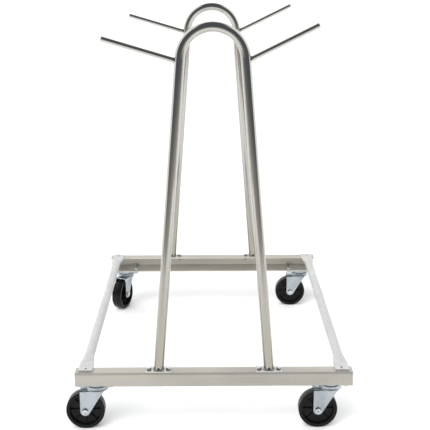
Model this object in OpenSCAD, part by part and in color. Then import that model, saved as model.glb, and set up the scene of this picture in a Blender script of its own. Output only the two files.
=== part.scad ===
// Wheeled four-prong hoop trolley.
// Two channel rails and two flattened side tubes make the base. Two leaning inverted-U
// hoops stand on it, each with a prong on either side, and four swivel casters carry it.
// +Z is up, -Y is the front. The origin is on the floor, under the middle of the
// footprint, which counts the trailing wheels.

/* [Base] */
// Length of the front and rear rails
rail_length = 711.2; // [640:0.1:900]
// Depth from the front rail's face to the rear rail's face
base_depth = 1016; // [800:0.1:1300]
// Height of the rails
rail_height = 38.1; // [32:0.1:55]
// Width of a rail's top flange
top_flange = 38.1; // [36:0.1:50]
// Width of a rail's bottom flange
bottom_flange = 76.2; // [76:0.1:100]
// Sheet thickness of the rails
rail_gauge = 3; // [2:0.1:4]
// Outer bend radius of the rails
rail_bend = 6; // [5:0.1:8]

/* [Side rails] */
// Outer diameter of the side tubes
side_tube_d = 25.4; // [20:0.1:32]
// Distance from a rail's end to the axis of the side tube
side_tube_inset = 26; // [20:0.1:34]
// Width of a flattened tube end
flat_width = 37.5; // [34:0.1:44]
// Thickness of a flattened tube end
flat_thickness = 5; // [4.4:0.1:6]
// Length of a flattened tube end
flat_length = 40; // [34:0.1:50]
// Length over which the tube changes from round to flat
flare_length = 70; // [50:0.1:90]
// Distance from the rail's face to the tip of the flattened end
tip_inset = 10; // [6:0.1:12]
// Diameter of the rivets that hold the flattened ends
rivet_d = 6.35; // [5:0.05:8]

/* [Hoops] */
// Outer diameter of the hoop tube
hoop_tube_d = 25.4; // [19:0.1:28]
// Wall thickness of the tubes
tube_wall = 1.6; // [1.2:0.1:2.5]
// Distance between the two feet of a hoop
hoop_spread = 283; // [240:0.1:400]
// Radius of the bend at the top, on the tube's centreline
hoop_bend = 80; // [60:0.1:100]
// Height of the bend's centre above the rails
hoop_rise = 785.6; // [560:0.1:1000]
// Angle by which the hoops lean toward each other
hoop_lean = 3.3; // [0:0.1:5]
// Distance from the rail's face to the middle of a foot
foot_inset = 20; // [19:0.1:21]
// Diameter of the vent hole near the bottom of each leg
vent_d = 6; // [4:0.1:8]

/* [Prongs] */
// Diameter of the prong rods
prong_d = 12.7; // [9:0.1:16]
// Length of a prong, from the hoop tube to its tip
prong_length = 184; // [120:1:240]
// Rise of the left prongs above level
prong_rise_left = 16.5; // [10:0.5:30]
// Rise of the right prongs above level
prong_rise_right = 26; // [10:0.5:30]
// Distance from the bend's centre down to the prongs' roots
prong_drop = 3.6; // [0:0.1:20]

/* [Foot plates] */
// Length of a foot plate, along the rail
foot_length = 66; // [64:0.1:80]
// Width of a foot plate, across the rail
foot_width = 34; // [30:0.1:36]
// Thickness of a foot plate
foot_thickness = 3; // [2:0.1:4]
// Distance between the two bolts of a foot
foot_bolt_spacing = 50; // [46:0.1:52]

/* [Casters] */
// Overall height of a caster
caster_height = 130.2; // [128:0.1:134]
// Diameter of the wheels
wheel_d = 101.6; // [84:0.1:104]
// Width of the wheels
wheel_width = 31.75; // [26:0.05:32]
// Distance that the axle trails behind the kingpin
caster_trail = 31.75; // [26:0.05:36]
// Distance from a rail's end to the kingpin
kingpin_inset = 52; // [50:0.1:60]
// Distance from the rail's face to the kingpin
kingpin_setback = 45; // [44:0.1:46]
// Length of the mounting plate, along the rail
plate_length = 92; // [90:0.1:100]
// Width of the mounting plate, across the rail
plate_width = 63.5; // [60:0.1:68]
// Bolt spacing along the rail
bolt_spacing_x = 76.2; // [72:0.1:78]
// Bolt spacing across the rail
bolt_spacing_y = 44.5; // [42:0.1:46]
// Turn of the front left caster from trailing straight to the left
turn_front_left = 0; // [-180:1:180]
// Turn of the front right caster
turn_front_right = 0; // [-180:1:180]
// Turn of the rear left caster
turn_rear_left = 68; // [-180:1:180]
// Turn of the rear right caster
turn_rear_right = 0; // [-180:1:180]

/* [Hidden] */
$fn = 64;
hull_fn = 32;

left = -1;
right = 1;
front = -1;
rear = 1;

// Clearance around bolts and pins, on the radius, and overrun of cutting shapes
fit_gap = 0.06;
run_gap = 0.4;
overrun = 1;

// Levels above the floor
rail_bottom = caster_height;
rail_top = rail_bottom + rail_height;
foot_top = rail_top + foot_thickness;
axle_z = wheel_d / 2;

// Places along and across the base
kingpin_x = rail_length / 2 - kingpin_inset;
kingpin_y = base_depth / 2 - kingpin_setback;
side_tube_x = rail_length / 2 - side_tube_inset;
foot_x = hoop_spread / 2;
foot_y = base_depth / 2 - foot_inset;
rivet_y = base_depth / 2 - top_flange * 0.63;
// The left wheels trail past the rail's end, so the frame stands half of that to the right
wheel_reach = kingpin_x + caster_trail + wheel_d / 2 - rail_length / 2;
frame_x = wheel_reach / 2;

// Flattened ends of the side tubes
flat_z = rail_top + flat_thickness / 2;
tip_y = base_depth / 2 - tip_inset;
flare_y = tip_y - flat_length;
round_y = flare_y - flare_length;
slice = 0.2;
rivet_head_d = rivet_d * 2;
rivet_head_h = rivet_d * 0.42;

// Hoop: the legs are tangent to the bend, in the hoop's own leaning plane
bend_s = hoop_rise / cos(hoop_lean);
leg_reach = sqrt(foot_x * foot_x + bend_s * bend_s);
leg_splay = round(1000 * (acos(hoop_bend / leg_reach) - atan2(bend_s, foot_x))) / 1000;
bend_sweep = 180 - 2 * leg_splay;
leg_length = sqrt(leg_reach * leg_reach - hoop_bend * hoop_bend);
leg_tail = 8;
vent_height = 8;
tip_bevel = 0.8;
weld_leg = 3;
weld_reach = 6.3;

// 5/16 inch hexagon bolts and nuts
bolt_d = 7.9;
bolt_hole_d = 8.5;
bolt_flats = 12.7;
bolt_head_h = 5.3;
nut_h = 6.7;
thread_end = 3;

// Caster pieces
plate_thickness = 2.8;
plate_corner = 8;
dish_r = 25;
dish_depth = 8;
dish_floor = caster_height - dish_depth - plate_thickness;
kingpin_r = 6.35;
kingpin_head_r = 11;
kingpin_head_h = 4;
kingpin_tail_h = 3.5;
ball_d = 7.94;
ball_pitch_r = 18.5;
ball_count = 13;
crown_top = dish_floor - ball_d - run_gap;
crown_thickness = 3;
crown_r = 29;
crown_bottom = crown_top - crown_thickness;
cup_r = dish_r + 3.5;
cup_wall = 2.5;
cup_h = 9;
fork_gap = wheel_width + 3.3;
leg_thickness = 2.8;
leg_heel = 12.5;
leg_toe = 19;
leg_shoulder = 10;
leg_shoulder_drop = 13.3;
axle_d = 9.5;
axle_flats = 14.3;
axle_head_h = 5.5;
axle_nut_h = 8;
dimple_r = 2.6;
dimple_depth = 1.6;
bushing_d = 12.7;

// Wheel
hub_r = 13.5;
hub_gap = 0.7;
web_thickness = 9;
rim_thickness = 10;
rim_shoulder = 3;
rib_count = 8;
rib_width = 2.4;
rib_depth = 5;

// Cross-section of a rail: 0 is its outer face, and the flanges run inward
module rail_section() {
    corner = rail_bend - rail_gauge;
    translate([0, rail_bend]) square([rail_gauge, rail_height - 2 * rail_bend]);
    translate([rail_bend, 0]) square([bottom_flange - rail_bend, rail_gauge]);
    translate([rail_bend, rail_height - rail_gauge])
        square([top_flange - rail_bend, rail_gauge]);
    for (z = [rail_bend, rail_height - rail_bend])
        intersection() {
            translate([rail_bend, z]) difference() {
                circle(rail_bend);
                circle(corner);
            }
            translate([0, z < rail_height / 2 ? 0 : z]) square(rail_bend);
        }
}

// The four corners of the caster and foot bolt patterns, for children to stand on
module at_caster_bolts(end) {
    for (side = [left, right], sx = [-0.5, 0.5], sy = [-0.5, 0.5])
        translate([side * kingpin_x + sx * bolt_spacing_x,
                   end * kingpin_y + sy * bolt_spacing_y, 0]) children();
}

module at_foot_bolts(end) {
    for (side = [left, right], sx = [-0.5, 0.5])
        translate([side * foot_x + sx * foot_bolt_spacing, end * foot_y, 0]) children();
}

module at_rivets(end) {
    for (side = [left, right]) translate([side * side_tube_x, end * rivet_y, 0]) children();
}

module rail(end) {
    color([0.74, 0.73, 0.69]) translate([frame_x, 0, 0]) difference() {
        mirror([0, end == rear ? 1 : 0, 0])
            translate([-rail_length / 2, -base_depth / 2, rail_bottom])
                rotate([90, 0, 90]) linear_extrude(rail_length) rail_section();
        translate([0, 0, rail_bottom - overrun]) at_caster_bolts(end)
            cylinder(d = bolt_hole_d, h = rail_gauge + 2 * overrun);
        translate([0, 0, rail_top - rail_gauge - overrun]) {
            at_foot_bolts(end) cylinder(d = bolt_hole_d, h = rail_gauge + 2 * overrun);
            at_rivets(end)
                cylinder(r = rivet_d / 2 + fit_gap, h = rail_gauge + 2 * overrun);
        }
    }
}

// Flat end's outline, a stadium, with its long side along X
module flat_outline(width, thickness) {
    square([width - thickness, thickness], center = true);
    for (sx = [-0.5, 0.5])
        translate([sx * (width - thickness), 0]) circle(d = thickness, $fn = hull_fn);
}

// A side tube's solid shape, shrunk by the inset given and longer at each tip by the reach
module side_tube(inset, reach) {
    translate([0, round_y, 0]) rotate([90, 0, 0])
        linear_extrude(2 * round_y) circle(d = side_tube_d - 2 * inset);
    for (end = [0, 1]) mirror([0, end, 0]) {
        hull() {
            translate([0, -round_y, 0]) rotate([90, 0, 0])
                linear_extrude(slice) circle(d = side_tube_d - 2 * inset, $fn = hull_fn);
            translate([0, slice - flare_y, 0]) rotate([90, 0, 0]) linear_extrude(slice)
                flat_outline(flat_width - 2 * inset, flat_thickness - 2 * inset);
        }
        translate([0, -flare_y, 0]) rotate([90, 0, 0]) linear_extrude(flat_length + reach)
            flat_outline(flat_width - 2 * inset, flat_thickness - 2 * inset);
    }
}

module side_rail(side) {
    color([0.83, 0.84, 0.84]) translate([frame_x + side * side_tube_x, 0, flat_z])
        difference() {
            side_tube(0, 0);
            side_tube(tube_wall, overrun);
            for (end = [front, rear]) translate([0, end * rivet_y, -flat_thickness])
                cylinder(r = rivet_d / 2 + fit_gap, h = 2 * flat_thickness);
        }
}

module rivet_head() {
    cap_r = (rivet_head_d * rivet_head_d / 4 + rivet_head_h * rivet_head_h) / (2 * rivet_head_h);
    intersection() {
        translate([0, 0, rivet_head_h - cap_r]) sphere(cap_r);
        cylinder(d = rivet_head_d + overrun, h = rivet_head_h + overrun);
    }
}

module side_rail_rivets() {
    grip = rail_gauge + flat_thickness;
    color([0.70, 0.71, 0.72]) translate([frame_x, 0, rail_top - rail_gauge])
        for (end = [front, rear]) at_rivets(end) {
            cylinder(d = rivet_d, h = grip);
            translate([0, 0, grip]) rivet_head();
            mirror([0, 0, 1]) rivet_head();
        }
}

// Puts children drawn in the hoop's plane, X across and Y up the hoop, on its feet
module in_hoop_plane(end) {
    translate([frame_x, end * foot_y, rail_top]) rotate([90 + end * hoop_lean, 0, 0])
        children();
}

// The hoop's path, drawn from the bend's centre, with the cross-section given as children
module hoop_path() {
    translate([0, bend_s, 0]) {
        rotate([0, 0, leg_splay]) rotate_extrude(angle = bend_sweep)
            translate([hoop_bend, 0]) children();
        for (side = [0, 1]) mirror([side, 0, 0]) rotate([0, 0, leg_splay])
            translate([hoop_bend, 0, 0]) rotate([90, 0, 0])
                linear_extrude(leg_length + leg_tail) children();
    }
}

module hoop(end) {
    color([0.86, 0.86, 0.85]) difference() {
        in_hoop_plane(end) hoop_path() difference() {
            circle(d = hoop_tube_d);
            circle(d = hoop_tube_d - 2 * tube_wall);
        }
        translate([frame_x, end * foot_y, foot_top - 2 * hoop_tube_d])
            linear_extrude(2 * hoop_tube_d) square([2 * hoop_spread, 4 * hoop_tube_d], center = true);
        for (side = [left, right])
            translate([frame_x + side * foot_x, end * foot_y, rail_top + vent_height])
                rotate([90, 0, 0]) cylinder(d = vent_d, h = hoop_tube_d);
    }
}

// A rod whose root is shaped to the hoop and carries its fillet weld
module prong(end, side) {
    rise = side == left ? prong_rise_left : prong_rise_right;
    root = hoop_tube_d * 0.3;
    weld_end = hoop_tube_d / 2 + weld_reach;
    tip = hoop_tube_d / 2 + prong_length;
    color([0.86, 0.86, 0.85]) in_hoop_plane(end) difference() {
        translate([0, bend_s - prong_drop, 0]) mirror([side == left ? 1 : 0, 0, 0])
            translate([hoop_bend, 0, 0]) rotate([0, 0, rise]) rotate([0, 90, 0]) {
                translate([0, 0, root])
                    cylinder(r1 = prong_d / 2 + weld_leg, r2 = prong_d / 2, h = weld_end - root);
                translate([0, 0, weld_end])
                    cylinder(d = prong_d, h = tip - tip_bevel - weld_end);
                translate([0, 0, tip - tip_bevel])
                    cylinder(d1 = prong_d, d2 = prong_d - 2 * tip_bevel, h = tip_bevel);
            }
        hoop_path() circle(d = hoop_tube_d);
    }
}

module foot_plate(end, side) {
    color([0.78, 0.78, 0.77])
        translate([frame_x + side * foot_x, end * foot_y, rail_top]) difference() {
            translate([-foot_length / 2, -foot_width / 2, 0])
                cube([foot_length, foot_width, foot_thickness]);
            for (sx = [-0.5, 0.5]) translate([sx * foot_bolt_spacing, 0, -overrun])
                cylinder(d = bolt_hole_d, h = foot_thickness + 2 * overrun);
        }
}

// Hexagon bolt: the head stands on +Z from 0, the shank hangs below
module hex_bolt(grip) {
    cylinder(d = bolt_flats / cos(30), h = bolt_head_h, $fn = 6);
    length = grip + nut_h + thread_end;
    translate([0, 0, -length]) cylinder(d = bolt_d, h = length);
}

module hex_nut() {
    difference() {
        cylinder(d = bolt_flats / cos(30), h = nut_h, $fn = 6);
        translate([0, 0, -overrun])
            cylinder(r = bolt_d / 2 + fit_gap, h = nut_h + 2 * overrun);
    }
}

module foot_bolts() {
    color([0.76, 0.77, 0.78]) translate([frame_x, 0, foot_top]) for (end = [front, rear])
        at_foot_bolts(end) hex_bolt(foot_thickness + rail_gauge);
}

module foot_nuts() {
    color([0.76, 0.77, 0.78]) translate([frame_x, 0, rail_top - rail_gauge - nut_h])
        for (end = [front, rear]) at_foot_bolts(end) hex_nut();
}

module caster_bolts() {
    color([0.76, 0.77, 0.78]) translate([frame_x, 0, rail_bottom - plate_thickness])
        for (end = [front, rear]) at_caster_bolts(end)
            mirror([0, 0, 1]) hex_bolt(plate_thickness + rail_gauge);
}

module caster_nuts() {
    color([0.76, 0.77, 0.78]) translate([frame_x, 0, rail_bottom + rail_gauge])
        for (end = [front, rear]) at_caster_bolts(end) hex_nut();
}

module at_kingpin(end, side) {
    translate([frame_x + side * kingpin_x, end * kingpin_y, 0]) children();
}

// A caster's swivelling pieces are drawn trailing toward +X and turned into place
module at_caster(end, side) {
    turn = end == front ? (side == left ? turn_front_left : turn_front_right)
                        : (side == left ? turn_rear_left : turn_rear_right);
    at_kingpin(end, side) rotate([0, 0, 180 + turn]) children();
}

module rounded_rectangle(length, width, corner) {
    square([length - 2 * corner, width], center = true);
    square([length, width - 2 * corner], center = true);
    for (sx = [-1, 1], sy = [-1, 1])
        translate([sx * (length / 2 - corner), sy * (width / 2 - corner)]) circle(corner);
}

// Mounting plate with a pressed dish that takes the kingpin's head
module caster_plate(end, side) {
    color([0.70, 0.74, 0.78]) at_kingpin(end, side) difference() {
        union() {
            translate([0, 0, rail_bottom - plate_thickness]) linear_extrude(plate_thickness)
                rounded_rectangle(plate_length, plate_width, plate_corner);
            translate([0, 0, dish_floor]) cylinder(r = dish_r, h = dish_depth);
        }
        translate([0, 0, dish_floor + plate_thickness])
            cylinder(r = dish_r - plate_thickness, h = dish_depth + overrun);
        translate([0, 0, dish_floor - overrun])
            cylinder(r = kingpin_r + fit_gap, h = plate_thickness + 2 * overrun);
        for (sx = [-0.5, 0.5], sy = [-0.5, 0.5])
            translate([sx * bolt_spacing_x, sy * bolt_spacing_y, dish_floor])
                cylinder(d = bolt_hole_d, h = 2 * dish_depth);
    }
}

module kingpin(end, side) {
    tail_top = crown_bottom - run_gap;
    seat = dish_floor + plate_thickness;
    color([0.72, 0.73, 0.75]) at_kingpin(end, side) {
        translate([0, 0, seat]) cylinder(r = kingpin_head_r, h = kingpin_head_h);
        translate([0, 0, tail_top]) cylinder(r = kingpin_r, h = seat - tail_top);
        translate([0, 0, tail_top - kingpin_tail_h])
            cylinder(r = kingpin_head_r, h = kingpin_tail_h);
    }
}

module race_balls(end, side) {
    color([0.60, 0.61, 0.63]) at_caster(end, side)
        for (i = [0 : ball_count - 1]) rotate([0, 0, i * 360 / ball_count])
            translate([ball_pitch_r, 0, crown_top + ball_d / 2]) sphere(d = ball_d);
}

// Side view of a fork leg: a plumb heel edge, a raked toe edge and a round end at the axle
module leg_outline() {
    shoulder = [-leg_shoulder, crown_top - leg_shoulder_drop - crown_thickness];
    reach = [caster_trail, axle_z] - shoulder;
    rake = atan2(reach[1], reach[0]) - asin(leg_heel / norm(reach));
    run = sqrt(norm(reach) * norm(reach) - leg_heel * leg_heel);
    polygon([
        [-leg_toe, crown_top], [caster_trail + leg_heel, crown_top],
        [caster_trail + leg_heel, axle_z], [caster_trail, axle_z],
        shoulder + run * [cos(rake), sin(rake)], shoulder, [-leg_toe, crown_bottom]
    ]);
    translate([caster_trail, axle_z]) circle(leg_heel);
}

module fork(end, side) {
    half_width = fork_gap / 2 + leg_thickness;
    color([0.70, 0.75, 0.79]) at_caster(end, side) difference() {
        union() {
            translate([0, 0, crown_bottom]) linear_extrude(crown_thickness) {
                circle(crown_r);
                translate([-leg_toe, -half_width])
                    square([leg_toe + caster_trail + leg_heel, 2 * half_width]);
            }
            translate([0, 0, crown_top]) linear_extrude(cup_h) difference() {
                circle(cup_r);
                circle(cup_r - cup_wall);
            }
            for (sy = [-1, 1]) translate([0, sy * (half_width - leg_thickness / 2), 0])
                rotate([90, 0, 0]) linear_extrude(leg_thickness, center = true) leg_outline();
        }
        translate([0, 0, crown_bottom - overrun])
            cylinder(r = kingpin_r + fit_gap, h = crown_thickness + 2 * overrun);
        translate([caster_trail, half_width + overrun, axle_z]) rotate([90, 0, 0])
            cylinder(r = axle_d / 2 + fit_gap, h = 2 * (half_width + overrun));
    }
}

// Puts children drawn along +Z on the axle, +Z turned to the caster's own +Y
module on_axle(end, side) {
    at_caster(end, side) translate([caster_trail, 0, axle_z]) rotate([-90, 0, 0]) children();
}

module axle_bolt(end, side) {
    half_width = fork_gap / 2 + leg_thickness;
    shank = 2 * half_width + axle_nut_h + thread_end;
    color([0.74, 0.76, 0.78]) on_axle(end, side) difference() {
        translate([0, 0, half_width]) {
            cylinder(d = axle_flats / cos(30), h = axle_head_h, $fn = 6);
            translate([0, 0, -shank]) cylinder(d = axle_d, h = shank);
        }
        translate([0, 0, half_width + axle_head_h - dimple_depth])
            cylinder(r = dimple_r, h = dimple_depth + overrun);
    }
}

module axle_nut(end, side) {
    color([0.74, 0.76, 0.78]) on_axle(end, side)
        translate([0, 0, -fork_gap / 2 - leg_thickness - axle_nut_h]) difference() {
            cylinder(d = axle_flats / cos(30), h = axle_nut_h, $fn = 6);
            translate([0, 0, -overrun])
                cylinder(r = axle_d / 2 + fit_gap, h = axle_nut_h + 2 * overrun);
        }
}

module axle_bushing(end, side) {
    color([0.66, 0.66, 0.66]) on_axle(end, side) translate([0, 0, -fork_gap / 2])
        linear_extrude(fork_gap) difference() {
            circle(d = bushing_d);
            circle(r = axle_d / 2 + fit_gap);
        }
}

// Half of the wheel's section, radius along X and the axle along Y
module wheel_section() {
    hub_length = fork_gap - 2 * hub_gap;
    bore_r = bushing_d / 2 + fit_gap;
    rim_r = wheel_d / 2 - rim_thickness;
    translate([bore_r, -hub_length / 2]) square([hub_r - bore_r, hub_length]);
    translate([hub_r - overrun, -web_thickness / 2])
        square([rim_r - hub_r + 2 * overrun, web_thickness]);
    translate([rim_r, -wheel_width / 2]) square([rim_thickness - rim_shoulder, wheel_width]);
    translate([rim_r, rim_shoulder - wheel_width / 2])
        square([rim_thickness, wheel_width - 2 * rim_shoulder]);
    for (sy = [-1, 1])
        translate([wheel_d / 2 - rim_shoulder, sy * (wheel_width / 2 - rim_shoulder)])
            circle(rim_shoulder);
}

module wheel(end, side) {
    rib_height = web_thickness + 2 * rib_depth;
    rib_length = wheel_d / 2 - rim_thickness - hub_r + 2 * overrun;
    color([0.05, 0.05, 0.055]) on_axle(end, side) {
        rotate_extrude() wheel_section();
        for (i = [0 : rib_count - 1]) rotate([0, 0, i * 360 / rib_count])
            translate([hub_r - overrun, -rib_width / 2, -rib_height / 2])
                cube([rib_length, rib_width, rib_height]);
    }
}

rail(front);  // front_rail
rail(rear);  // rear_rail
side_rail(left);  // left_side_rail
side_rail(right);  // right_side_rail
side_rail_rivets();
hoop(front);  // front_hoop
hoop(rear);  // rear_hoop
prong(front, left);  // prong_front_left
prong(front, right);  // prong_front_right
prong(rear, left);  // prong_rear_left
prong(rear, right);  // prong_rear_right
foot_plate(front, left);  // foot_plate_front_left
foot_plate(front, right);  // foot_plate_front_right
foot_plate(rear, left);  // foot_plate_rear_left
foot_plate(rear, right);  // foot_plate_rear_right
foot_bolts();
foot_nuts();
caster_bolts();
caster_nuts();
caster_plate(front, left);  // caster_plate_fl
kingpin(front, left);  // kingpin_fl
race_balls(front, left);  // race_balls_fl
fork(front, left);  // fork_fl
axle_bolt(front, left);  // axle_bolt_fl
axle_nut(front, left);  // axle_nut_fl
axle_bushing(front, left);  // axle_bushing_fl
wheel(front, left);  // wheel_fl
caster_plate(front, right);  // caster_plate_fr
kingpin(front, right);  // kingpin_fr
race_balls(front, right);  // race_balls_fr
fork(front, right);  // fork_fr
axle_bolt(front, right);  // axle_bolt_fr
axle_nut(front, right);  // axle_nut_fr
axle_bushing(front, right);  // axle_bushing_fr
wheel(front, right);  // wheel_fr
caster_plate(rear, left);  // caster_plate_rl
kingpin(rear, left);  // kingpin_rl
race_balls(rear, left);  // race_balls_rl
fork(rear, left);  // fork_rl
axle_bolt(rear, left);  // axle_bolt_rl
axle_nut(rear, left);  // axle_nut_rl
axle_bushing(rear, left);  // axle_bushing_rl
wheel(rear, left);  // wheel_rl
caster_plate(rear, right);  // caster_plate_rr
kingpin(rear, right);  // kingpin_rr
race_balls(rear, right);  // race_balls_rr
fork(rear, right);  // fork_rr
axle_bolt(rear, right);  // axle_bolt_rr
axle_nut(rear, right);  // axle_nut_rr
axle_bushing(rear, right);  // axle_bushing_rr
wheel(rear, right);  // wheel_rr
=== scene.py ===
import math
import bpy
from mathutils import Matrix, Vector


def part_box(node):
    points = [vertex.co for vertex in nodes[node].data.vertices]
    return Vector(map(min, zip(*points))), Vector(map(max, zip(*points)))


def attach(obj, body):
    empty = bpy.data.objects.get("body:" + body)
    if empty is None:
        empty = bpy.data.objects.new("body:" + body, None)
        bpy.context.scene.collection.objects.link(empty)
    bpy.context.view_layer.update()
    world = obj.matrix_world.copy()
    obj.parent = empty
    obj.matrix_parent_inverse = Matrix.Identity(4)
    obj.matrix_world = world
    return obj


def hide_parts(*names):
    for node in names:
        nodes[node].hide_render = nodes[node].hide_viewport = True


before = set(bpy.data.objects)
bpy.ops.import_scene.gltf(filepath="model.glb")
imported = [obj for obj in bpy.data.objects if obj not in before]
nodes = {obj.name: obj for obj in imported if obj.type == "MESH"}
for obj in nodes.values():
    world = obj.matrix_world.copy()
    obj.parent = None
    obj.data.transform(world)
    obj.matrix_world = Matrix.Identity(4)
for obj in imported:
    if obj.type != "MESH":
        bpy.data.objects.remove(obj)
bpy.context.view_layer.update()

# Camera
# A long lens in front of the trolley, a little above its hoops, looks down over the
# front rail with its horizon level to within a fraction of a degree.
front_low, front_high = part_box("front_rail")
frame_middle = (front_low.x + front_high.x) / 2
camera_lift = 1.0398
camera_tilt = math.radians(75)
camera_turn = math.radians(-0.3)
camera_roll = math.radians(-0.16)
bpy.ops.object.camera_add()
camera = bpy.context.object
camera.data.lens = 82.5
camera.data.sensor_width = 36
camera.data.clip_end = 200
camera.location = (frame_middle - 0.0082, -2.831, front_high.z + camera_lift)
camera.rotation_euler = (
    Matrix.Rotation(camera_turn, 3, "Z")
    @ Matrix.Rotation(camera_tilt, 3, "X")
    @ Matrix.Rotation(camera_roll, 3, "Z")
).to_euler()
bpy.context.scene.camera = camera

# Channel rails
# Two lengths of zinc-coated steel sheet, roll-formed to a channel. The zinc is a warm
# satin grey, drawn out along the rail by the rolls, with soft clouds where it has aged.


class Shade:
    """A value in a material, which Python's arithmetic works on."""

    def __init__(self, tree, socket=None):
        self.tree = tree
        self.socket = socket

    def make(self, kind, inputs=None, output=0, **settings):
        """Adds a node, its settings first and then its sockets' values or links."""
        node = self.tree.nodes.new("ShaderNode" + kind)
        for name, setting in settings.items():
            setattr(node, name, setting)
        for name, value in (inputs or {}).items():
            if isinstance(value, Shade):
                self.tree.links.new(value.socket, node.inputs[name])
            else:
                node.inputs[name].default_value = value
        return Shade(self.tree, node.outputs[output])

    def maths(self, operation, first, second):
        return self.make("Math", {0: first, 1: second}, operation=operation)

    def __add__(self, other):
        return self.maths("ADD", self, other)

    def __mul__(self, other):
        return self.maths("MULTIPLY", self, other)

    def __rsub__(self, other):
        return self.maths("SUBTRACT", other, self)

    __radd__ = __add__
    __rmul__ = __mul__

    def noise(self, scale, stretch=(1, 1, 1), detail=4):
        """Noise on the object's own coordinates, in waves a metre, finer where stretched."""
        place = self.make("Mapping", {"Vector": self.make("TexCoord", output="Object"),
                                      "Scale": stretch})
        return self.make("TexNoise", {"Vector": place, "Scale": scale, "Detail": detail})

    def between(self, low, high):
        """0 below low and 1 above high, with a soft step between."""
        return self.make("MapRange", {"Value": self, "From Min": low, "From Max": high},
                         interpolation_type="SMOOTHSTEP")

    def colours(self, first, second):
        """The first colour at 0 and the second at 1."""
        return self.make("Mix", {"Factor": self, 6: first, 7: second}, output=2,
                         data_type="RGBA")

    def bump(self, height, distance, strength=1.0):
        return self.make("Bump", {"Height": height, "Distance": distance,
                                  "Strength": strength})


def finish(name):
    """A new material, and the start of its shader maths."""
    material = bpy.data.materials.new(name)
    material.use_nodes = True
    return material, Shade(material.node_tree)


def feed(material, **inputs):
    """Sets or links the shader's sockets, with _ for a space in their names."""
    shader = material.node_tree.nodes["Principled BSDF"]
    for name, value in inputs.items():
        socket = shader.inputs[name.replace("_", " ")]
        if isinstance(value, Shade):
            material.node_tree.links.new(value.socket, socket)
        else:
            socket.default_value = value


def wear(piece, material):
    """Puts one material all over a piece."""
    piece.data.materials.clear()
    piece.data.materials.append(material)


def rgb(red, green, blue):
    return (red, green, blue, 1)


rolled_zinc, paint = finish("rolled_zinc")
clouds = paint.noise(7, (0.6, 1, 1), 3).between(0.35, 0.7)
roll_lines = paint.noise(3, (1, 90, 90), 5)
specks = paint.noise(420, detail=2).between(0.58, 0.75)
streaks = paint.noise(1.6, (1, 70, 70), 4).between(0.38, 0.64)
zinc_tone = clouds.colours(rgb(0.45, 0.422, 0.363), rgb(0.37, 0.345, 0.292))
zinc_tone = (streaks * 0.55).colours(zinc_tone, rgb(0.39, 0.39, 0.38))
zinc_tone = (specks * 0.35).colours(zinc_tone, rgb(0.27, 0.26, 0.235))
feed(rolled_zinc, Base_Color=zinc_tone, Metallic=0.5,
     Roughness=0.30 + 0.16 * roll_lines + 0.09 * clouds,
     Normal=paint.bump(roll_lines + 0.3 * specks, 0.0002, 0.45))
for rail in ("front_rail", "rear_rail"):
    wear(nodes[rail], rolled_zinc)

# Side tubes
# Hot-dip galvanised tube, with each end pressed flat and left open at its tip, where the
# two walls almost meet. The dull zinc shows its crystals as a faint patchwork.


def deselect():
    for thing in bpy.context.selected_objects:
        thing.select_set(False)


def settle(piece):
    """Moves a piece's place, turn and size into its mesh."""
    deselect()
    piece.select_set(True)
    bpy.context.view_layer.objects.active = piece
    bpy.ops.object.transform_apply(location=True, rotation=True, scale=True)


def ease(value, low, high):
    """0 below low and 1 above high, with a soft step between."""
    part = min(max((value - low) / (high - low), 0), 1)
    return part * part * (3 - 2 * part)


def flattened(turn, width, thickness):
    """The point on a flat tube's outline that the round tube's point at turn goes to."""
    corner = thickness / 2
    straight = width / 2 - corner
    quarter = math.pi * corner / 2
    first = abs(math.asin(math.sin(turn))) / (math.pi / 2) * (quarter + straight)
    if first < quarter:
        across = straight + corner * math.cos(first / corner)
        up = corner * math.sin(first / corner)
    else:
        across = straight - (first - quarter)
        up = corner
    return math.copysign(across, math.cos(turn)), math.copysign(up, math.sin(turn))


tube_radius = 0.0127
tube_wall = 0.0016
flat_length = 0.040
flare_length = 0.070
flat_thickness = 0.005
rings = 160


def make_side_tube(node, name):
    low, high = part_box(node)
    middle = (low + high) / 2
    flat_width = high.x - low.x
    half = (high.y - low.y) / 2
    bpy.ops.mesh.primitive_cylinder_add(
        vertices=72, radius=tube_radius, depth=2 * half, end_fill_type="NOTHING",
        rotation=(math.pi / 2, 0, 0))
    tube = bpy.context.object
    tube.name = name
    settle(tube)
    bpy.ops.object.mode_set(mode="EDIT")
    bpy.ops.mesh.select_mode(type="EDGE")
    bpy.ops.mesh.select_all(action="DESELECT")
    bpy.ops.object.mode_set(mode="OBJECT")
    for edge in tube.data.edges:
        start, end = (tube.data.vertices[i].co for i in edge.vertices)
        edge.select = abs(start.y - end.y) > half
    bpy.ops.object.mode_set(mode="EDIT")
    bpy.ops.mesh.subdivide(number_cuts=rings)
    bpy.ops.object.mode_set(mode="OBJECT")
    for vertex in tube.data.vertices:
        reach = (abs(vertex.co.y) - (half - flat_length - flare_length)) / flare_length
        step = ease(reach, 0, 1)
        across, up = flattened(math.atan2(vertex.co.z, vertex.co.x), flat_width, flat_thickness)
        vertex.co.x += (across - vertex.co.x) * step
        vertex.co.z += (up - vertex.co.z) * step
        vertex.co += middle
    wall = tube.modifiers.new("wall", "SOLIDIFY")
    wall.thickness = tube_wall
    wall.offset = -1
    bpy.ops.object.modifier_apply(modifier="wall")
    bpy.ops.object.shade_smooth_by_angle(angle=math.radians(35))
    wear(tube, galvanised)
    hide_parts(node)
    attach(tube, "base")


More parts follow.
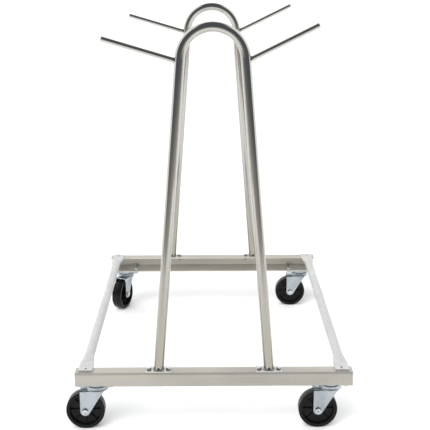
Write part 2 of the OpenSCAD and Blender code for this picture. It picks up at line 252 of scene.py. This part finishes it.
galvanised, paint = finish("galvanised_tube")
place = paint.make("Mapping", {"Vector": paint.make("TexCoord", output="Object"),
                               "Scale": (1, 0.55, 1)})
crystals = paint.make("TexVoronoi", {"Vector": place, "Scale": 150.0}, output="Color")
crystal = paint.make("SeparateColor", {"Color": crystals})
dull = paint.noise(11, (1, 0.5, 1), 4).between(0.35, 0.7)
zinc_tone = (crystal * 0.5).colours(rgb(0.56, 0.567, 0.56), rgb(0.48, 0.487, 0.485))
zinc_tone = (dull * 0.6).colours(zinc_tone, rgb(0.53, 0.53, 0.51))
feed(galvanised, Base_Color=zinc_tone, Metallic=0.45,
     Roughness=0.36 + 0.12 * crystal + 0.08 * dull,
     Normal=paint.bump(crystal * 0.4 + paint.noise(260, detail=3), 0.0002, 0.3))
make_side_tube("left_side_rail", "left_side_tube")
make_side_tube("right_side_rail", "right_side_tube")

# Hoops and prongs
# Bright plated tube and rod. The plating mirrors the room in long streaks, with a faint grain that
# polishing leaves along the tube.
# It is rougher toward the feet, and there its colour is painted darker and warmer as a painted
# reflection of the warm floor.
bright_plate, paint = finish("bright_plate")
polish = paint.noise(40, (8, 8, 0.4), 3)
haze = paint.noise(9, (1, 1, 0.5), 3).between(0.4, 0.75)
height = paint.make("SeparateXYZ", {"Vector": paint.make("TexCoord", output="Object")}, output="Z")
near_feet = 1 - height.between(front_high.z, front_high.z + 0.5)
# Painted reflection: the plating colour turns darker and warmer toward the feet; only the rise in
# roughness there is real dulling
plate_tone_with_painted_reflection = near_feet.colours(rgb(0.51, 0.50, 0.47), rgb(0.40, 0.38, 0.33))
feed(bright_plate, Base_Color=plate_tone_with_painted_reflection, Metallic=1.0,
     Roughness=0.09 + 0.06 * haze + 0.09 * near_feet + 0.03 * polish,
     Normal=paint.bump(polish, 0.0001, 0.12))
for end in ("front", "rear"):
    wear(nodes[end + "_hoop"], bright_plate)
    for side in ("left", "right"):
        wear(nodes["prong_" + end + "_" + side], bright_plate)

# Foot plates and their fasteners
# Sheared steel plates under each leg, held by hexagon bolts. The bolts have the chamfered
# heads and the rolled threads of stock fasteners, in bright zinc.
plate_steel, paint = finish("plated_sheet")
brush = paint.noise(18, (1, 14, 14), 4)
feed(plate_steel, Base_Color=brush.colours(rgb(0.66, 0.655, 0.63), rgb(0.52, 0.515, 0.49)),
     Metallic=0.9, Roughness=0.28 + 0.16 * brush, Normal=paint.bump(brush, 0.0001, 0.3))
for end in ("front", "rear"):
    for side in ("left", "right"):
        wear(nodes["foot_plate_" + end + "_" + side], plate_steel)

bright_zinc, paint = finish("bright_zinc")
grime = paint.noise(90, detail=4).between(0.45, 0.7)
feed(bright_zinc, Base_Color=grime.colours(rgb(0.68, 0.69, 0.70), rgb(0.44, 0.44, 0.44)),
     Metallic=1.0, Roughness=0.2 + 0.2 * grime, Normal=paint.bump(grime, 0.0001, 0.25))
wear(nodes["side_rail_rivets"], bright_zinc)

to_corner = 1 / math.cos(math.radians(30))
bolt_radius = 0.00395
bolt_corner = 0.00635 * to_corner
bolt_chamfer = 0.0006
edge_radius = 0.00025
thread_pitch = 0.0014
thread_root = 0.8
threads = 5
foot_spacing = 0.025
caster_spacing = (0.0381, 0.02225)


def choose(piece, wanted):
    """Leaves selected, in edit mode, only the faces that wanted says yes to."""
    bpy.ops.object.mode_set(mode="OBJECT")
    for part in (piece.data.vertices, piece.data.edges):
        for item in part:
            item.select = False
    for face in piece.data.polygons:
        face.select = wanted(face)
    bpy.ops.object.mode_set(mode="EDIT")
    bpy.ops.mesh.select_mode(type="FACE")


def extrude(rise, growth=1.0):
    """Raises the selected face along Z and grows or shrinks it there."""
    bpy.ops.mesh.extrude_region_move(TRANSFORM_OT_translate={"value": (0, 0, rise)})
    if growth != 1:
        bpy.ops.transform.resize(value=(growth, growth, 1))


def make_threads(count):
    """Rolls ridges on the end of the rod whose face is selected, then points its tip."""
    for ridge in range(count):
        extrude(thread_pitch * 0.5, thread_root)
        extrude(thread_pitch * 0.5, 1 / thread_root)
    extrude(thread_pitch * 0.5, thread_root)


def make_hexagon(name, corner, height, chamfer, facings=(1,)):
    """A hexagon block from 0 to height along Z, its corners taken off on top or at both ends."""
    low = chamfer if -1 in facings else 0
    bpy.ops.mesh.primitive_cylinder_add(vertices=6, radius=corner, depth=height - chamfer - low,
                                        location=(0, 0, (low + height - chamfer) / 2))
    block = bpy.context.object
    block.name = name
    settle(block)
    for facing in facings:
        choose(block, lambda face: face.normal.z * facing > 0.9)
        bpy.ops.mesh.inset(thickness=chamfer * 1.6)
        bpy.ops.transform.translate(value=(0, 0, chamfer * facing))
    bpy.ops.object.mode_set(mode="OBJECT")
    edge = block.modifiers.new("edge", "BEVEL")
    edge.width = edge_radius
    edge.segments = 2
    bpy.ops.object.modifier_apply(modifier="edge")
    return block


def make_rod(name, radius, low, high, ridges):
    """A rod along Z, with ridges of thread at its upper end."""
    plain = high - low - thread_pitch * (ridges + 0.5)
    bpy.ops.mesh.primitive_cylinder_add(vertices=28, radius=radius, depth=plain,
                                        location=(0, 0, low + plain / 2))
    rod = bpy.context.object
    rod.name = name
    settle(rod)
    if ridges:
        choose(rod, lambda face: face.normal.z > 0.9)
        make_threads(ridges)
        bpy.ops.object.mode_set(mode="OBJECT")
    return rod


def join(name, pieces):
    """Makes one piece of several, shaded smooth up to its hard edges."""
    deselect()
    for piece in pieces:
        piece.select_set(True)
    bpy.context.view_layer.objects.active = pieces[0]
    bpy.ops.object.join()
    pieces[0].name = name
    pieces[0].data.name = name
    bpy.ops.object.shade_smooth_by_angle(angle=math.radians(32))
    return pieces[0]


def copies(piece, places):
    """Copies a piece to each place, a matrix, with its own mesh, and joins the copies."""
    made = []
    for place in places:
        copy = piece.copy()
        copy.data = piece.data.copy()
        copy.data.transform(place)
        bpy.context.collection.objects.link(copy)
        made.append(copy)
    name = piece.name
    bpy.data.objects.remove(piece)
    return join(name + "_set", made)


def fasten(piece, node, body, material):
    """Lets a finished piece stand for its CAD node, on that node's body."""
    wear(piece, material)
    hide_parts(node)
    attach(piece, body)


def bolt_places(plates, half_length, half_width, height):
    """The places of the bolts in a row of plates, at a height and a spacing."""
    places = []
    for plate in plates:
        low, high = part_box(plate)
        middle = (low + high) / 2
        for x in (-half_length, half_length):
            for y in sorted({-half_width, half_width}):
                places.append(Matrix.Translation((middle.x + x, middle.y + y, height)))
    return places


foot_plates = ["foot_plate_front_left", "foot_plate_front_right",
               "foot_plate_rear_left", "foot_plate_rear_right"]
caster_names = ("fl", "fr", "rl", "rr")
caster_plates = ["caster_plate_" + caster for caster in caster_names]
upside_down = Matrix.Rotation(math.pi, 4, "X")

foot_low, foot_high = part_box("foot_bolts")
foot_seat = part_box("foot_plate_front_left")[1].z
head = make_hexagon("foot_bolt", bolt_corner, foot_high.z - foot_seat, bolt_chamfer)
shank = make_rod("foot_shank", bolt_radius, 0, foot_seat - foot_low.z, threads)
shank.data.transform(upside_down)
foot_bolts = copies(join("foot_bolt", [head, shank]),
                    bolt_places(foot_plates, foot_spacing, 0, foot_seat))
fasten(foot_bolts, "foot_bolts", "base", bright_zinc)

caster_low, caster_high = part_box("caster_bolts")
flange_thickness = 0.003
mounting_plate = 0.0028
caster_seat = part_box("caster_nuts")[0].z - flange_thickness - mounting_plate
head = make_hexagon("caster_bolt", bolt_corner, caster_seat - caster_low.z, bolt_chamfer)
head.data.transform(upside_down)
shank = make_rod("caster_shank", bolt_radius, 0, caster_high.z - caster_seat, threads)
caster_bolts = copies(join("caster_bolt", [head, shank]),
                      bolt_places(caster_plates, *caster_spacing, caster_seat))
fasten(caster_bolts, "caster_bolts", "base", bright_zinc)


def make_nut(name, corner, height, bore):
    """A hexagon nut from 0 to height along Z, with both faces chamfered and countersunk."""
    nut = make_hexagon(name, corner, height, bolt_chamfer, (1, -1))
    face_radius = corner / to_corner - 1.6 * bolt_chamfer
    for facing in (1, -1):
        choose(nut, lambda face: face.normal.z * facing > 0.95 and face.area > 0.00002)
        bpy.ops.mesh.inset(thickness=face_radius - bore)
        bpy.ops.mesh.subdivide(number_cuts=3)
        bpy.ops.transform.tosphere(value=1)
        extrude(-0.0008 * facing, 0.9)
        bpy.ops.object.mode_set(mode="OBJECT")
    return join(name, [nut])


def make_nuts(node, plates, half_length, half_width):
    low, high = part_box(node)
    nut = make_nut(node[:-1], bolt_corner, high.z - low.z, bolt_radius + 0.0006)
    fasten(copies(nut, bolt_places(plates, half_length, half_width, low.z)),
           node, "base", bright_zinc)


make_nuts("foot_nuts", foot_plates, foot_spacing, 0)
make_nuts("caster_nuts", caster_plates, *caster_spacing)

# Welds
# Each leg is welded all round to its foot plate with a narrow rippled bead, which plating has
# left a little duller than the tube. The prongs' smooth fillet welds are part of the rods.
weld_bead, paint = finish("weld_bead")
scale = paint.noise(300, detail=3)
feed(weld_bead, Base_Color=scale.colours(rgb(0.50, 0.49, 0.46), rgb(0.34, 0.33, 0.31)),
     Metallic=0.95, Roughness=0.3 + 0.2 * scale, Normal=paint.bump(scale, 0.0003, 0.5))
bead_radius = 0.0019
bead_gap = 0.0009
bead_rise = 0.0006
ripples = 34
ripple_height = 0.14
for plate in foot_plates:
    low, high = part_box(plate)
    middle = (low + high) / 2
    bpy.ops.mesh.primitive_torus_add(major_radius=tube_radius + bead_gap, minor_radius=bead_radius,
                                     major_segments=136, minor_segments=10)
    bead = bpy.context.object
    bead.name = plate.replace("foot_plate", "foot_bead")
    for vertex in bead.data.vertices:
        turn = math.atan2(vertex.co.y, vertex.co.x)
        out = Vector((math.cos(turn), math.sin(turn), 0))
        vertex.co += out * bead_radius * ripple_height * math.cos(ripples * turn)
        vertex.co += Vector((middle.x, middle.y, high.z + bead_rise))
    bpy.ops.object.shade_smooth_by_angle(angle=math.radians(60))
    wear(bead, weld_bead)
    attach(bead, "base")

# Casters
# Stock swivel casters in bluish zinc. The fork is one pressing: a crown with two legs folded
# down from it, each stiffened by a long plumb crease, and a raised cup that covers the balls.
blue_zinc, paint = finish("blue_zinc")
passivate = paint.noise(26, (1, 1, 0.6), 4).between(0.35, 0.7)
press_lines = paint.noise(60, (1, 1, 0.15), 4)
zinc_tone = passivate.colours(rgb(0.47, 0.51, 0.535), rgb(0.36, 0.40, 0.43))
feed(blue_zinc, Base_Color=zinc_tone, Metallic=1.0,
     Roughness=0.2 + 0.13 * press_lines + 0.06 * passivate,
     Normal=paint.bump(press_lines, 0.0002, 0.25))
plain_steel, paint = finish("plain_steel")
turned = paint.noise(70, (1, 1, 5), 3)
feed(plain_steel, Base_Color=turned.colours(rgb(0.55, 0.55, 0.56), rgb(0.36, 0.36, 0.37)),
     Metallic=1.0, Roughness=0.25 + 0.15 * turned, Normal=paint.bump(turned, 0.0001, 0.2))

kingpin_low, kingpin_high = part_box("kingpin_fl")
bushing_low, bushing_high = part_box("axle_bushing_fl")
kingpin_middle = (kingpin_low + kingpin_high) / 2
axle_middle = (bushing_low + bushing_high) / 2
trail = (axle_middle - kingpin_middle).to_2d().length
axle_z = axle_middle.z
leg_gap = bushing_high.y - bushing_low.y
sheet = 0.0028
heel = 0.0125
toe = 0.019
cup_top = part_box("fork_fl")[1].z
cup_height = 0.009
crown_thickness = 0.003
crown_top = cup_top - cup_height
crown_bottom = crown_top - crown_thickness
shoulder_drop = 0.0163
shoulder = Vector((-0.010, crown_top - shoulder_drop))
to_axle = Vector((trail, axle_z)) - shoulder
rake = math.atan2(to_axle.y, to_axle.x) - math.asin(heel / to_axle.length)
toe_run = math.sqrt(to_axle.length ** 2 - heel * heel)
toe_end = shoulder + Vector((math.cos(rake), math.sin(rake))) * toe_run


def leg_edges(height):
    """Where a leg's toe edge and heel edge are at a height."""
    below = min(max(axle_z - height, 0), heel)
    heel_edge = trail + math.sqrt(heel * heel - below * below)
    if height > crown_bottom:
        toe_edge = -toe
    elif height > shoulder.y:
        down = (crown_bottom - height) / (crown_bottom - shoulder.y)
        toe_edge = -toe + (shoulder.x + toe) * down
    elif height > toe_end.y:
        down = (shoulder.y - height) / (shoulder.y - toe_end.y)
        toe_edge = shoulder.x + (toe_end.x - shoulder.x) * down
    else:
        below = min(axle_z - height, heel)
        toe_edge = trail - math.sqrt(heel * heel - below * below)
    return toe_edge, heel_edge


def caster_place(caster):
    """Turns a caster drawn at the origin, trailing toward +X, into its place."""
    pin = sum(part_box("kingpin_" + caster), Vector()) / 2
    axle = sum(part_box("axle_bushing_" + caster), Vector()) / 2
    turn = math.atan2(axle.y - pin.y, axle.x - pin.x)
    return Matrix.Translation((pin.x, pin.y, 0)) @ Matrix.Rotation(turn, 4, "Z")


def fit_to_casters(piece, node, body, material):
    """Copies a piece to the four casters, where each copy stands for the caster's own node."""
    for caster in caster_names:
        copy = piece.copy()
        copy.data = piece.data.copy()
        copy.data.transform(caster_place(caster))
        copy.name = piece.name + "_" + caster
        bpy.context.collection.objects.link(copy)
        fasten(copy, node + "_" + caster, body + "_" + caster, material)
    bpy.data.objects.remove(piece)


def spin_outline(name, outline, axis, steps):
    """Turns a closed outline, points in the XZ or XY plane, all the way round an axis."""
    mesh = bpy.data.meshes.new(name)
    count = len(outline)
    mesh.from_pydata(outline, [(i, (i + 1) % count) for i in range(count)], [])
    turned_piece = bpy.data.objects.new(name, mesh)
    bpy.context.collection.objects.link(turned_piece)
    deselect()
    turned_piece.select_set(True)
    bpy.context.view_layer.objects.active = turned_piece
    bpy.ops.object.mode_set(mode="EDIT")
    bpy.ops.mesh.select_all(action="SELECT")
    bpy.ops.mesh.spin(steps=steps, angle=2 * math.pi, center=(0, 0, 0), axis=axis)
    bpy.ops.mesh.select_all(action="SELECT")
    bpy.ops.mesh.remove_doubles(threshold=0.00001)
    bpy.ops.mesh.normals_make_consistent(inside=False)
    bpy.ops.object.mode_set(mode="OBJECT")
    return turned_piece


def arc(middle_x, middle_y, radius, start, end, steps):
    """Points along an arc, with angles in degrees."""
    turns = (math.radians(start + (end - start) * i / steps) for i in range(steps + 1))
    return [(middle_x + radius * math.cos(t), middle_y + radius * math.sin(t)) for t in turns]


# The fork's sheet is a grid: its rows run down one leg, round the fold, across the crown and
# down the other leg, and its columns run from the toe edge to the heel edge.
fold = 0.0055
crease_start = 0.016
crease_end = 0.0195
crease_depth = 0.0011
half_span = leg_gap / 2 + sheet / 2
crown_mid = crown_top - crown_thickness / 2
leg_bottom = axle_z - heel * 0.998
leg_rows = 60
fold_rows = 10
crown_rows = 16
columns = 44
side_path = []
for row in range(leg_rows):
    part = row / leg_rows
    height = leg_bottom + (crown_mid - fold - leg_bottom) * part ** 1.5
    side_path.append((-half_span, height))
for across, height in arc(fold - half_span, crown_mid - fold, fold, 180, 90, fold_rows):
    side_path.append((across, height))
for row in range(1, crown_rows // 2):
    side_path.append(((fold - half_span) * (1 - row / (crown_rows // 2)), crown_mid))
path = side_path + [(0, crown_mid)] + [(-across, height) for across, height in reversed(side_path)]

bpy.ops.mesh.primitive_grid_add(x_subdivisions=columns, y_subdivisions=len(path) - 1, size=2)
fork = bpy.context.object
fork.name = "fork"
for vertex in fork.data.vertices:
    column = (vertex.co.x + 1) / 2
    across, height = path[round((vertex.co.y + 1) / 2 * (len(path) - 1))]
    toe_edge, heel_edge = leg_edges(height)
    along = toe_edge + (heel_edge - toe_edge) * column
    crease = ease(heel_edge - along, crease_start, crease_end)
    crease *= ease(height, axle_z + 0.006, axle_z + 0.026) * ease(crown_mid - height, 0.002, 0.010)
    side = math.copysign(1, across) if across else 0
    vertex.co = (along, across - side * crease * crease_depth, height)
wall = fork.modifiers.new("wall", "SOLIDIFY")
wall.thickness = sheet
wall.offset = 0
bpy.ops.object.modifier_apply(modifier="wall")
edge = fork.modifiers.new("edge", "BEVEL")
edge.width = 0.0005
edge.segments = 2
edge.limit_method = "ANGLE"
edge.angle_limit = math.radians(50)
bpy.ops.object.modifier_apply(modifier="edge")

# The cup: a disc on the crown, turned up at its rim around the ball race
pin_hole = 0.00641
cup_radius = 0.0285
cup_wall = 0.0025
cup_corner = 0.002
cup_groove = 0.0015
cup_outline = [(pin_hole, crown_bottom), (cup_radius - cup_corner / 2, crown_bottom)]
cup_outline += arc(cup_radius - cup_corner / 2, crown_bottom + cup_corner, cup_corner, -60, 0, 4)
cup_outline += [(cup_radius, crown_top + cup_corner / 2)]
cup_outline += arc(cup_radius - cup_wall / 2, cup_top - cup_wall / 2, cup_wall / 2, 0, 180, 8)
cup_outline += arc(cup_radius - cup_wall - cup_groove, crown_top + cup_groove, cup_groove, 0, -90, 4)
cup_outline += [(pin_hole, crown_top)]
cup = spin_outline("cup", [(x, 0, z) for x, z in cup_outline], (0, 0, 1), 72)
fit_to_casters(join("pressed_fork", [fork, cup]), "fork", "swivel", blue_zinc)
for caster in caster_names:
    wear(nodes["caster_plate_" + caster], blue_zinc)
    for hidden in ("kingpin_", "race_balls_", "axle_bushing_"):
        wear(nodes[hidden + caster], plain_steel)

# Axle bolts and nuts
# The bolt's head shows on the outside of each fork, with the round hollow that cold forging
# leaves in its face. A nut and the end of the thread show on the inside.
axle_corner = 0.00715 * to_corner
axle_radius = 0.00475
axle_tail = 0.003
half_fork = leg_gap / 2 + sheet
head_height = 0.0055
head_chamfer = 0.0007
hollow_inset = 0.0034
hollow_depth = 0.0014
nut_height = 0.008
nut_bore = 0.0053
along_axle = Matrix.Translation((trail, 0, axle_z)) @ Matrix.Rotation(-math.pi / 2, 4, "X")
axle_head = make_hexagon("axle_bolt", axle_corner, head_height, head_chamfer)
choose(axle_head, lambda face: face.normal.z > 0.95 and face.area > 0.00002)
bpy.ops.mesh.inset(thickness=hollow_inset)
bpy.ops.mesh.subdivide(number_cuts=3)
bpy.ops.transform.tosphere(value=1)
extrude(-hollow_depth, 0.8)
bpy.ops.object.mode_set(mode="OBJECT")
axle_head.data.transform(Matrix.Translation((0, 0, half_fork)))
axle_shank = make_rod("axle_shank", axle_radius, -half_fork, half_fork + nut_height + axle_tail,
                      threads)
axle_shank.data.transform(upside_down)
axle_bolt = join("threaded_axle", [axle_head, axle_shank])
axle_bolt.data.transform(along_axle)
fit_to_casters(axle_bolt, "axle_bolt", "swivel", bright_zinc)
axle_nut = make_nut("countersunk_nut", axle_corner, nut_height, nut_bore)
axle_nut.data.transform(along_axle @ Matrix.Translation((0, 0, -half_fork - nut_height)))
fit_to_casters(axle_nut, "axle_nut", "swivel", bright_zinc)

# Wheels
# Moulded in one piece from hard black plastic: a rim with rounded shoulders, a recessed web
# with slim ribs, and a hub. The flanks are glossy and the tread is scuffed by the floor.
wheel_black, paint = finish("wheel_black")
scuffs = paint.noise(520, detail=4).between(0.48, 0.8)
flow = paint.noise(24, detail=3)
plastic = (scuffs * 0.7).colours(rgb(0.005, 0.005, 0.0055), rgb(0.016, 0.0155, 0.015))
feed(wheel_black, Base_Color=plastic, Metallic=0.0, Specular_IOR_Level=0.17,
     Roughness=0.22 + 0.25 * scuffs + 0.08 * flow,
     Normal=paint.bump(flow + 0.4 * scuffs, 0.0002, 0.25))
wheel_radius = axle_z
wheel_half = (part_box("wheel_fl")[1].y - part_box("wheel_fl")[0].y) / 2
rim_half = wheel_half - 0.00095
rim_inner = wheel_radius - 0.010
hub_radius = 0.0135
hub_bore = 0.00641
hub_chamfer = 0.0006
lip = 0.001
draft = 0.0006
web_half = 0.0045
rib_half = 0.0095
rib_thickness = 0.0024
rib_edge = 0.0006
rib_count = 8
shoulder_radius = 0.003
crowning = 0.0002
blend = 0.0022
half_outline = [(hub_bore, wheel_half - hub_chamfer), (hub_bore + hub_chamfer, wheel_half)]
half_outline += arc(hub_radius - lip, wheel_half - lip, lip, 90, 0, 4)
half_outline += arc(hub_radius + blend + draft, web_half + blend, blend, 180, 270, 6)
half_outline += arc(rim_inner - blend - draft, web_half + blend, blend, 270, 360, 6)
half_outline += arc(rim_inner + lip, rim_half - lip, lip, 180, 90, 4)
half_outline += arc(wheel_radius - shoulder_radius - crowning, rim_half - shoulder_radius,
                    shoulder_radius, 90, 5, 8)
# A hair of a ridge runs round the middle of the tread, where the two halves of the mould met
half_outline += [(wheel_radius - 0.00005, rim_half * 0.5), (wheel_radius - 0.0001, 0.0005),
                 (wheel_radius, 0.0003)]
outline = half_outline + [(x, -y) for x, y in reversed(half_outline)]
wheel = spin_outline("wheel", [(x, y, 0) for x, y in outline], (0, 1, 0), 120)
ribs = []
rib_length = rim_inner - hub_radius + 0.002
for rib in range(rib_count):
    bpy.ops.mesh.primitive_cube_add(size=1, location=((rim_inner + hub_radius) / 2, 0, 0),
                                    scale=(rib_length, 2 * rib_half, rib_thickness))
    piece = bpy.context.object
    settle(piece)
    edge = piece.modifiers.new("edge", "BEVEL")
    edge.width = rib_edge
    edge.segments = 2
    bpy.ops.object.modifier_apply(modifier="edge")
    piece.data.transform(Matrix.Rotation(math.tau * rib / rib_count, 4, "Y"))
    ribs.append(piece)
wheel = join("moulded_wheel", [wheel] + ribs)
wheel.data.transform(Matrix.Translation((trail, 0, axle_z)))
fit_to_casters(wheel, "wheel", "wheel", wheel_black)

# Floor and light
# A white paper sweep, wider at its far end, in a photographer's room. The walls behind and
# beside it are lit white, and the room in front is dark, so that bright metal has something
# to mirror. The lamps themselves don't show in the metal.
sweep_length = 60
sweep_start = -2.6
near_width = 4.6
far_width = 32
bpy.ops.mesh.primitive_plane_add(size=1, location=(0, 0.5, 0))
floor = bpy.context.object
floor.name = "floor"
settle(floor)
for vertex in floor.data.vertices:
    vertex.co.x *= far_width if vertex.co.y > 0.5 else near_width
    vertex.co.y = vertex.co.y * sweep_length + sweep_start
white_floor, paint = finish("white_floor")
feed(white_floor, Base_Color=rgb(0.93, 0.93, 0.93), Roughness=0.9, Specular_IOR_Level=0.0)
wear(floor, white_floor)

# Up and back are how far a direction points up, and away from the camera
studio = bpy.data.worlds.new("studio")
studio.use_nodes = True
bpy.context.scene.world = studio
sky = Shade(studio.node_tree)
facing = sky.make("TexCoord", output="Generated")
up = sky.make("SeparateXYZ", {"Vector": facing}, output="Z")
back = sky.make("SeparateXYZ", {"Vector": facing}, output="Y")
dark_room = up.between(-0.24, 0.0).colours(rgb(0.62, 0.58, 0.52), rgb(0.12, 0.135, 0.15))
white_wall = back.between(-0.30, -0.14) * (1 - up.between(0.84, 0.95))
room = white_wall.colours(dark_room, rgb(1.3, 1.3, 1.3))
background = studio.node_tree.nodes["Background"]
studio.node_tree.links.new(room.socket, background.inputs["Color"])

for name, turn, energy, softness in (("key_light", (40, -26, 0), 2.9, 50),
                                     ("fill_light", (78, 0, -12), 0.7, 60)):
    bpy.ops.object.light_add(type="SUN", rotation=[math.radians(part) for part in turn])
    lamp = bpy.context.object
    lamp.name = name
    lamp.data.energy = energy
    lamp.data.angle = math.radians(softness)
    lamp.visible_glossy = False

# A low lamp between the rails, for the shaded inside of the rear rail only
bpy.ops.object.light_add(type="AREA", location=(frame_middle, -0.2, 0.19),
                         rotation=(math.radians(86), 0, 0))
low_fill = bpy.context.object
low_fill.name = "low_fill_light"
low_fill.data.shape = "RECTANGLE"
low_fill.data.size = 0.62
low_fill.data.size_y = 0.1
low_fill.data.energy = 6
low_fill.visible_glossy = False
low_fill.visible_camera = False
low_fill_reach = bpy.data.collections.new("low_fill_reach")
low_fill_reach.objects.link(nodes["rear_rail"])
low_fill.light_linking.receiver_collection = low_fill_reach
bpy.context.scene.view_settings.view_transform = "Standard"
